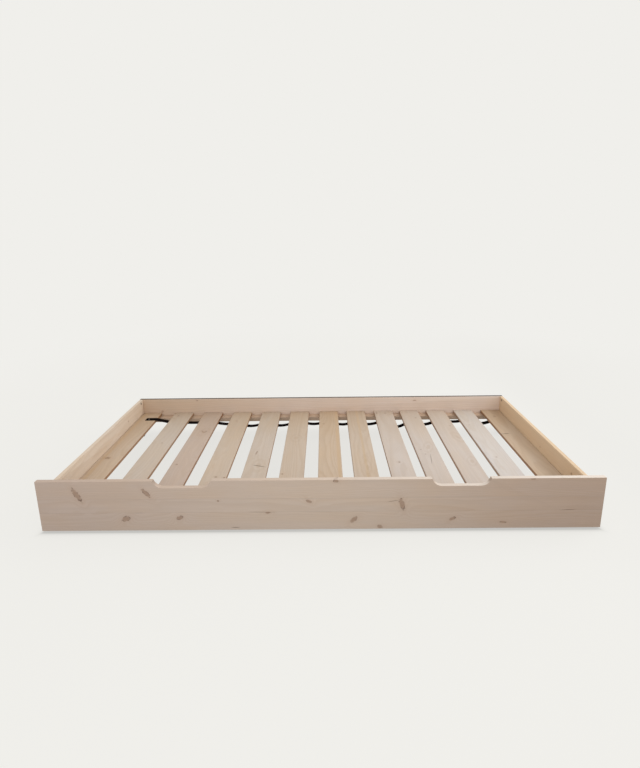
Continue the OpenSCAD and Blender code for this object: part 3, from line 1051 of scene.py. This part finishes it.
@dataclass
class Castors:
    """Four fixed castors on the side boards.

    Attributes:
        ribs: Ribs on each side of a wheel's disc.
        rib_thick: A rib's thickness.
        rib_short: How far a rib stays inside the wheel's rim along the axle.
        hub: Radius of the hub that the ribs start in.
        rim: Radius of the rim's inner face.
        easing: Width of the rounding on the moulded and pressed corners.
        plastic: The wheel's finish.
        tread: The tyre's finish.
        sheet: The bracket's finish.
        rivet: The axle's finish.
    """

    ribs: int = 6
    rib_thick: float = 0.0016
    rib_short: float = 0.0022
    hub: float = 0.0085
    rim: float = 0.0172
    easing: float = 0.0004
    plastic: Moulded = Moulded("wheel_plastic", (0.022, 0.022, 0.024), 0.42, 0.00004)
    tread: Moulded = Moulded("tyre_rubber", (0.085, 0.085, 0.088), 0.66, 0.00007)
    sheet: Zinc = Zinc("zinc_sheet", (0.62, 0.63, 0.64), 0.36)
    rivet: Zinc = Zinc("zinc_rivet", (0.58, 0.59, 0.60), 0.30)

    def wheel(self, corner: str) -> bpy.types.Object:
        """Models a wheel: its CAD shape with eased corners, and ribs from hub to rim.

        Args:
            corner: Which corner it is at.

        Returns:
            The wheel.
        """
        piece = eased_board(f"wheel_{corner}", f"wheel_{corner}_ribbed", self.easing, 0.0)
        low, high = node_box(f"wheel_{corner}")
        middle = (low + high) / 2
        rib_middle = middle + Vector((0.0, 0.0, (self.hub + self.rim) / 2))
        span = (high.x - low.x) - 2 * self.rib_short
        select_only(piece)
        bpy.ops.object.mode_set(mode="EDIT")
        for index in range(self.ribs):
            bpy.ops.mesh.select_all(action="DESELECT")
            bpy.ops.mesh.primitive_cube_add(size=1.0, location=rib_middle)
            bpy.ops.transform.resize(
                value=(span, self.rib_thick, self.rim - self.hub), center_override=rib_middle,
            )
            bpy.ops.transform.rotate(
                value=math.tau * index / self.ribs, orient_axis="X", orient_type="GLOBAL",
                center_override=middle,
            )
        return finish_shape(piece)

    def build(self) -> None:
        """Models the castors and dresses them."""
        plastic, tread = self.plastic.build(), self.tread.build()
        sheet, rivet = self.sheet.build(), self.rivet.build()
        for corner in CORNERS:
            bracket = eased_board(f"bracket_{corner}", f"bracket_{corner}_pressed", self.easing, 0.0)
            dress(bracket, sheet)
            stand_for(bracket, f"bracket_{corner}")
            axle = eased_board(f"axle_{corner}", f"axle_{corner}_rivet", self.easing, 0.0)
            dress(axle, rivet)
            stand_for(axle, f"axle_{corner}")
            wheel = self.wheel(corner)
            dress(wheel, plastic)
            stand_for(wheel, f"wheel_{corner}", f"{corner}_wheel")
            paint(f"tyre_{corner}", tread)


@dataclass
class Studio:
    """The floor, the lights and the camera.

    Attributes:
        pale: Colour of the floor and of the surroundings.
        glow: Share of the floor's colour that shadows leave alone.
        bounce: Share of the floor's colour that the lights make.
        beneath: Brightness of what lies below the horizon.
        shade: How much painted shade darkens the floor under the bed.
        spill: How much of the key light's spill on the right of the floor is taken away.
        camera_at: The camera's place.
        pitch: How far it looks down, in radians.
        turn: How far it looks to the left, in radians.
        roll: How far it leans, in radians.
        focal: Focal length over the picture's longer side.
        drop: How far the picture's middle lies below the lens axis, over its longer side.
    """

    pale: Colour = tone(240, 239, 235)
    glow: float = 0.86
    bounce: float = 0.13
    beneath: float = 0.40
    shade: float = 0.03
    spill: float = 0.28
    camera_at: tuple[float, float, float] = (0.0256, -2.0317, 1.0491)
    pitch: float = 0.24637
    turn: float = 0.01027
    roll: float = 0.01317
    focal: float = 0.64074
    drop: float = 0.03977
    sensor: float = 36.0

    def floor(self) -> None:
        """Lays a plain pale floor, with a painted contact shadow along the front panel's foot and painted
        shade under the bed.
        """
        size = 60.0
        bpy.ops.object.select_all(action="DESELECT")
        bpy.ops.mesh.primitive_plane_add(size=size, location=(0.0, 0.0, 0.0))
        ground = bpy.context.object
        ground.name = "studio_floor"
        ground.visible_diffuse = False
        low, high = node_box("front_panel")
        graph = Graph("studio_floor")
        where = graph.place_mm()
        flat = graph.join(graph.part(where, Axis.X), graph.part(where, Axis.Y), 0.0)
        away = graph.node("ShaderNodeVectorMath", {"operation": "LENGTH"}, {0: flat}, out=1)
        far = graph.smooth(away, 1300.0, 3600.0)
        # Painted contact shadow: a dark band on the floor round the front panel's foot, fading over about 7
        # mm.
        ahead = low.y * PER_METRE - graph.part(where, Axis.Y)
        past = graph.math("ABSOLUTE", graph.part(where, Axis.X)) - high.x * PER_METRE
        out = graph.math("MAXIMUM", graph.math("MAXIMUM", ahead, -ahead - 18.0), past)
        painted_contact_shadow = graph.math("EXPONENT", -graph.math("MAXIMUM", out, 0.0) / 7.0)
        # Painted shade: the floor is a little darker inside the bed's footprint.
        depth = (CAD_BOX[1][1] - CAD_BOX[0][1]) * PER_METRE
        under = graph.smooth(-past, 0.0, 90.0) * graph.smooth(-ahead, 0.0, 90.0)
        under = under * graph.smooth(ahead + depth, 0.0, 60.0)
        right = graph.smooth(graph.part(where, Axis.X), 800.0, 1500.0)
        lit = (1.0 - far) * (1.0 - self.glow)
        # The floor's glow carries the painted contact shadow and the painted shade under the bed.
        glowing = (1.0 - lit) * (1.0 - painted_contact_shadow * 0.34) * (1.0 - under * self.shade)
        graph.set(
            Base_Color=graph.dim(self.pale, (1.0 - far) * (1.0 - right * self.spill) * self.bounce),
            Roughness=1.0, Specular_IOR_Level=0.0,
            Emission_Color=graph.dim(self.pale, glowing), Emission_Strength=1.0,
        )
        ground.data.materials.append(graph.material)

    def surroundings(self) -> None:
        """Lights the bed evenly from all round."""
        world = bpy.data.worlds.new("studio")
        bpy.context.scene.world = world
        world.use_nodes = True
        tree = world.node_tree
        back = next(node for node in tree.nodes if node.type == "BACKGROUND")
        way = tree.nodes.new("ShaderNodeTexCoord")
        split = tree.nodes.new("ShaderNodeSeparateXYZ")
        rise = tree.nodes.new("ShaderNodeMapRange")
        blend = tree.nodes.new("ShaderNodeMix")
        blend.data_type = "RGBA"
        blend.inputs[6].default_value = (*(value * self.beneath for value in self.pale), 1.0)
        blend.inputs[7].default_value = (*self.pale, 1.0)
        rise.inputs[1].default_value = -0.35
        rise.inputs[2].default_value = -0.1
        tree.links.new(way.outputs[0], split.inputs[0])
        tree.links.new(split.outputs[2], rise.inputs[0])
        tree.links.new(rise.outputs[0], blend.inputs[0])
        tree.links.new(blend.outputs[2], back.inputs[0])
        back.inputs[1].default_value = 1.0

    def lamp(
        self, name: str, place: tuple[float, float, float], size: float, power: float, colour: Colour,
    ) -> None:
        """Hangs a square soft light that faces the middle of the bed.

        Args:
            name: The light's name.
            place: Where it hangs.
            size: Its side.
            power: Its power in watts.
            colour: Its colour.
        """
        data = bpy.data.lights.new(name, "AREA")
        data.shape = "SQUARE"
        data.size = size
        data.energy = power
        data.color = colour
        light = bpy.data.objects.new(name, data)
        bpy.context.scene.collection.objects.link(light)
        light.location = place
        light.rotation_euler = (Vector((0.0, 0.0, 0.1)) - Vector(place)).to_track_quat("-Z", "Y").to_euler()

    def camera(self) -> None:
        """Stands the camera in front of the bed, a little above it."""
        data = bpy.data.cameras.new("camera")
        data.sensor_width = self.sensor
        data.lens = self.sensor * self.focal
        data.shift_y = -self.drop
        data.clip_start = 0.05
        data.clip_end = 200.0
        eye = bpy.data.objects.new("camera", data)
        bpy.context.scene.collection.objects.link(eye)
        ahead = Vector((
            -math.sin(self.turn) * math.cos(self.pitch),
            math.cos(self.turn) * math.cos(self.pitch),
            -math.sin(self.pitch),
        ))
        level = Vector((math.cos(self.turn), math.sin(self.turn), 0.0))
        below = ahead.cross(level)
        right = level * math.cos(self.roll) + below * math.sin(self.roll)
        down = below * math.cos(self.roll) - level * math.sin(self.roll)
        turned = Matrix((right, -down, -ahead)).transposed().to_4x4()
        eye.matrix_world = Matrix.Translation(Vector(self.camera_at)) @ turned
        bpy.context.scene.camera = eye

    def build(self) -> None:
        """Builds the studio."""
        self.camera()
        self.floor()
        self.surroundings()
        self.lamp("key", (2.7, 0.3, 1.9), 1.7, 34.0, (1.0, 0.985, 0.97))
        self.lamp("fill", (-0.9, -3.2, 1.5), 1.8, 14.0, (1.0, 1.0, 1.0))
        bpy.context.scene.view_settings.view_transform = "Standard"
        bpy.context.scene.view_settings.look = "None"


def main() -> None:
    """Builds the bed, the floor, the lights and the camera."""
    logging.basicConfig(level=logging.INFO, format="%(message)s")
    for assembly in (Studio(), TrayBoards(), SlatDeck(), Webbing(), Fittings(), Castors()):
        assembly.build()


if __name__ == "__main__":
    main()
